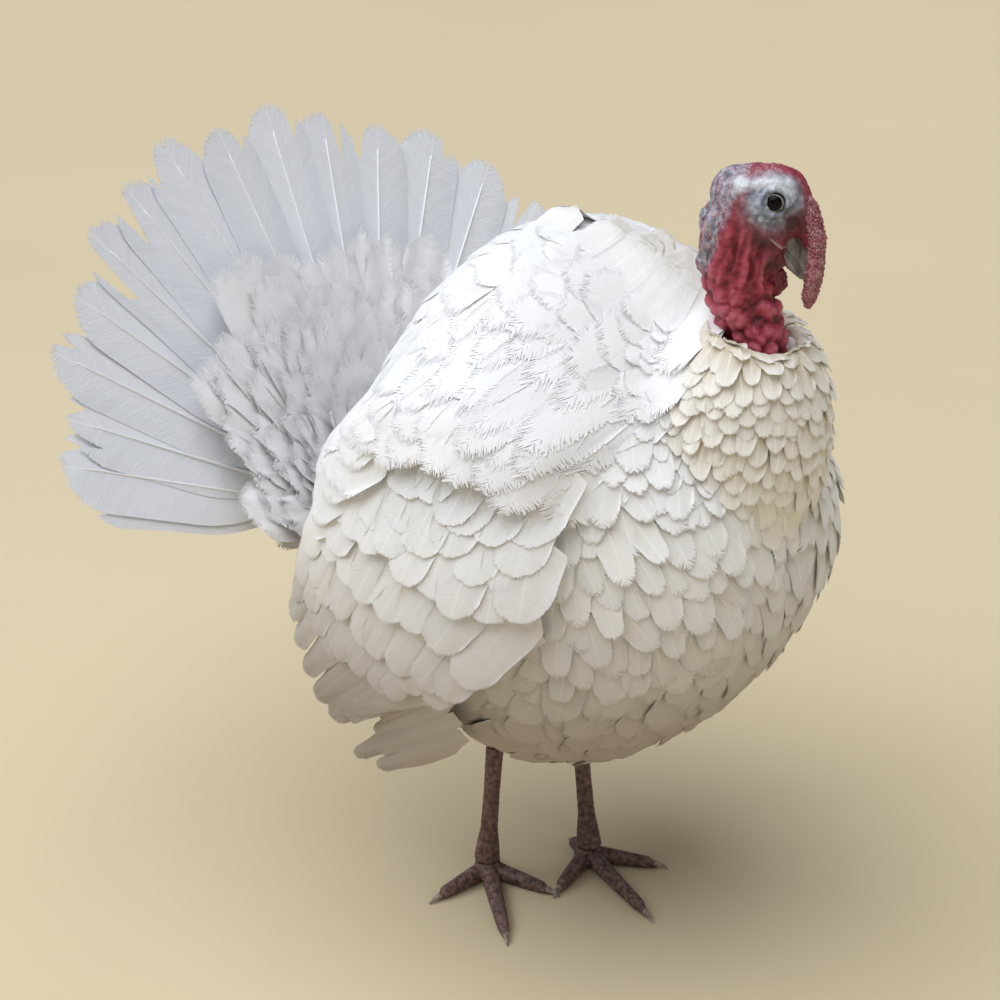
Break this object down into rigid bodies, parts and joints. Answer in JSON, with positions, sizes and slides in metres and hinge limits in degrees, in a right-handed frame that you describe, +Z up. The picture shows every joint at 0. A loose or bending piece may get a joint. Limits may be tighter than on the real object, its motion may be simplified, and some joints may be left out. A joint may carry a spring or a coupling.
{
  "type": "turkey decoy",
  "caption": "Life-size strutting tom turkey decoy with a feathered body, drooping wings, a turning head and a tail fan that tilts and folds.",
  "frame": {"origin": "on the ground, under the middle of the whole object", "axes": "+X the way the body faces, +Y its left side, +Z up"},
  "size_m": [0.7035, 0.8004, 0.797],
  "materials": {
    "white_feather": "matte",
    "tail_vane": "matte",
    "red_skin": "matte",
    "beak_horn": "satin",
    "eye_glass": "gloss",
    "leg_rubber": "matte",
    "body_plastic": "matte",
    "zinc_steel": "satin",
    "aluminium": "satin"
  },
  "bodies": {
    "frame": {"body_shell_right": "body_plastic", "body_shell_left": "body_plastic", "back_plumage": "white_feather", "flank_plumage_right": "white_feather", "flank_plumage_left": "white_feather", "belly_plumage": "white_feather", "breast_plumage": "white_feather", "rump_plumage": "white_feather", "neck_ruff": "white_feather", "spine_tube": "aluminium", "neck_post": "zinc_steel", "leg_bracket": "aluminium", "leg_rod_right": "zinc_steel", "leg_rod_left": "zinc_steel", "leg_right": "leg_rubber", "leg_left": "leg_rubber", "foot_right": "leg_rubber", "foot_left": "leg_rubber", "tail_bracket": "aluminium", "tail_pin": "zinc_steel", "wing_bolt_right": "zinc_steel", "wing_bolt_left": "zinc_steel"},
    "head": {"head_skin": "red_skin", "beak": "beak_horn", "snood": "red_skin", "wattle": "red_skin", "eye_right": "eye_glass", "eye_left": "eye_glass"},
    "wing_right": {"wing_plate_right": "body_plastic", "wing_coverts_right": "white_feather", "wing_secondaries_right": "white_feather", "wing_primaries_right": "white_feather"},
    "wing_left": {"wing_plate_left": "body_plastic", "wing_coverts_left": "white_feather", "wing_secondaries_left": "white_feather", "wing_primaries_left": "white_feather"},
    "fan": {"fan_base": "aluminium", "fan_pin": "zinc_steel", "fan_wing_nut": "zinc_steel", "tail_covert_pad": "white_feather", "undertail_pad": "white_feather"},
    "feather_01": {"tail_feather_01": "tail_vane"},
    "feather_02": {"tail_feather_02": "tail_vane"},
    "feather_03": {"tail_feather_03": "tail_vane"},
    "feather_04": {"tail_feather_04": "tail_vane"},
    "feather_05": {"tail_feather_05": "tail_vane"},
    "feather_06": {"tail_feather_06": "tail_vane"},
    "feather_07": {"tail_feather_07": "tail_vane"},
    "feather_08": {"tail_feather_08": "tail_vane"},
    "feather_09": {"tail_feather_09": "tail_vane"},
    "feather_10": {"tail_feather_10": "tail_vane"},
    "feather_11": {"tail_feather_11": "tail_vane"},
    "feather_12": {"tail_feather_12": "tail_vane"},
    "feather_13": {"tail_feather_13": "tail_vane"},
    "feather_14": {"tail_feather_14": "tail_vane"},
    "feather_15": {"tail_feather_15": "tail_vane"},
    "feather_16": {"tail_feather_16": "tail_vane"},
    "feather_17": {"tail_feather_17": "tail_vane"},
    "feather_18": {"tail_feather_18": "tail_vane"}
  },
  "joints": [
    {"name": "head_turn", "type": "hinge", "parent": "frame", "child": "head", "pos_m": [0.2846, 0, 0.6], "axis": [0, 0, 1], "range_deg": [-60, 40]},
    {"name": "wing_droop_right", "type": "hinge", "parent": "frame", "child": "wing_right", "pos_m": [0.1276, -0.2, 0.48], "axis": [0, 1, 0], "range_deg": [0, 12]},
    {"name": "wing_droop_left", "type": "hinge", "parent": "frame", "child": "wing_left", "pos_m": [0.1276, 0.2, 0.48], "axis": [0, 1, 0], "range_deg": [0, 12]},
    {"name": "fan_tilt", "type": "hinge", "parent": "frame", "child": "fan", "pos_m": [-0.1344, 0, 0.331], "axis": [0, -1, 0], "range_deg": [0, 45]},
    {"name": "fan_spread", "type": "hinge", "parent": "fan", "child": "feather_01", "pos_m": [-0.1474, 0, 0.374], "axis": [-0.7314, 0, -0.682], "range_deg": [0, 68]},
    {"name": "feather_02_fold", "type": "hinge", "parent": "fan", "child": "feather_02", "pos_m": [-0.1474, 0, 0.374], "axis": [-0.7314, 0, -0.682], "range_deg": [0, 66.2]},
    {"name": "feather_03_fold", "type": "hinge", "parent": "fan", "child": "feather_03", "pos_m": [-0.1474, 0, 0.374], "axis": [-0.7314, 0, -0.682], "range_deg": [0, 60.1]},
    {"name": "feather_04_fold", "type": "hinge", "parent": "fan", "child": "feather_04", "pos_m": [-0.1474, 0, 0.374], "axis": [-0.7314, 0, -0.682], "range_deg": [0, 52]},
    {"name": "feather_05_fold", "type": "hinge", "parent": "fan", "child": "feather_05", "pos_m": [-0.1474, 0, 0.374], "axis": [-0.7314, 0, -0.682], "range_deg": [0, 42.9]},
    {"name": "feather_06_fold", "type": "hinge", "parent": "fan", "child": "feather_06", "pos_m": [-0.1474, 0, 0.374], "axis": [-0.7314, 0, -0.682], "range_deg": [0, 33.5]},
    {"name": "feather_07_fold", "type": "hinge", "parent": "fan", "child": "feather_07", "pos_m": [-0.1474, 0, 0.374], "axis": [-0.7314, 0, -0.682], "range_deg": [0, 24]},
    {"name": "feather_08_fold", "type": "hinge", "parent": "fan", "child": "feather_08", "pos_m": [-0.1474, 0, 0.374], "axis": [-0.7314, 0, -0.682], "range_deg": [0, 14.5]},
    {"name": "feather_09_fold", "type": "hinge", "parent": "fan", "child": "feather_09", "pos_m": [-0.1474, 0, 0.374], "axis": [-0.7314, 0, -0.682], "range_deg": [0, 5]},
    {"name": "feather_10_fold", "type": "hinge", "parent": "fan", "child": "feather_10", "pos_m": [-0.1474, 0, 0.374], "axis": [-0.7314, 0, -0.682], "range_deg": [-5, 0]},
    {"name": "feather_11_fold", "type": "hinge", "parent": "fan", "child": "feather_11", "pos_m": [-0.1474, 0, 0.374], "axis": [-0.7314, 0, -0.682], "range_deg": [-14.5, 0]},
    {"name": "feather_12_fold", "type": "hinge", "parent": "fan", "child": "feather_12", "pos_m": [-0.1474, 0, 0.374], "axis": [-0.7314, 0, -0.682], "range_deg": [-24, 0]},
    {"name": "feather_13_fold", "type": "hinge", "parent": "fan", "child": "feather_13", "pos_m": [-0.1474, 0, 0.374], "axis": [-0.7314, 0, -0.682], "range_deg": [-33.5, 0]},
    {"name": "feather_14_fold", "type": "hinge", "parent": "fan", "child": "feather_14", "pos_m": [-0.1474, 0, 0.374], "axis": [-0.7314, 0, -0.682], "range_deg": [-42.9, 0]},
    {"name": "feather_15_fold", "type": "hinge", "parent": "fan", "child": "feather_15", "pos_m": [-0.1474, 0, 0.374], "axis": [-0.7314, 0, -0.682], "range_deg": [-52, 0]},
    {"name": "feather_16_fold", "type": "hinge", "parent": "fan", "child": "feather_16", "pos_m": [-0.1474, 0, 0.374], "axis": [-0.7314, 0, -0.682], "range_deg": [-60.1, 0]},
    {"name": "feather_17_fold", "type": "hinge", "parent": "fan", "child": "feather_17", "pos_m": [-0.1474, 0, 0.374], "axis": [-0.7314, 0, -0.682], "range_deg": [-66.2, 0]},
    {"name": "feather_18_fold", "type": "hinge", "parent": "fan", "child": "feather_18", "pos_m": [-0.1474, 0, 0.374], "axis": [-0.7314, 0, -0.682], "range_deg": [-68.2, 0]}
  ],
  "couplings": [
    {"joint": "feather_02_fold", "follows": "fan_spread", "ratio": 0.9711},
    {"joint": "feather_03_fold", "follows": "fan_spread", "ratio": 0.8812},
    {"joint": "feather_04_fold", "follows": "fan_spread", "ratio": 0.7613},
    {"joint": "feather_05_fold", "follows": "fan_spread", "ratio": 0.628},
    {"joint": "feather_06_fold", "follows": "fan_spread", "ratio": 0.4898},
    {"joint": "feather_07_fold", "follows": "fan_spread", "ratio": 0.3501},
    {"joint": "feather_08_fold", "follows": "fan_spread", "ratio": 0.2101},
    {"joint": "feather_09_fold", "follows": "fan_spread", "ratio": 0.07},
    {"joint": "feather_10_fold", "follows": "fan_spread", "ratio": -0.07},
    {"joint": "feather_11_fold", "follows": "fan_spread", "ratio": -0.2101},
    {"joint": "feather_12_fold", "follows": "fan_spread", "ratio": -0.3501},
    {"joint": "feather_13_fold", "follows": "fan_spread", "ratio": -0.4898},
    {"joint": "feather_14_fold", "follows": "fan_spread", "ratio": -0.628},
    {"joint": "feather_15_fold", "follows": "fan_spread", "ratio": -0.7613},
    {"joint": "feather_16_fold", "follows": "fan_spread", "ratio": -0.8812},
    {"joint": "feather_17_fold", "follows": "fan_spread", "ratio": -0.9711},
    {"joint": "feather_18_fold", "follows": "fan_spread", "ratio": -1}
  ]
}
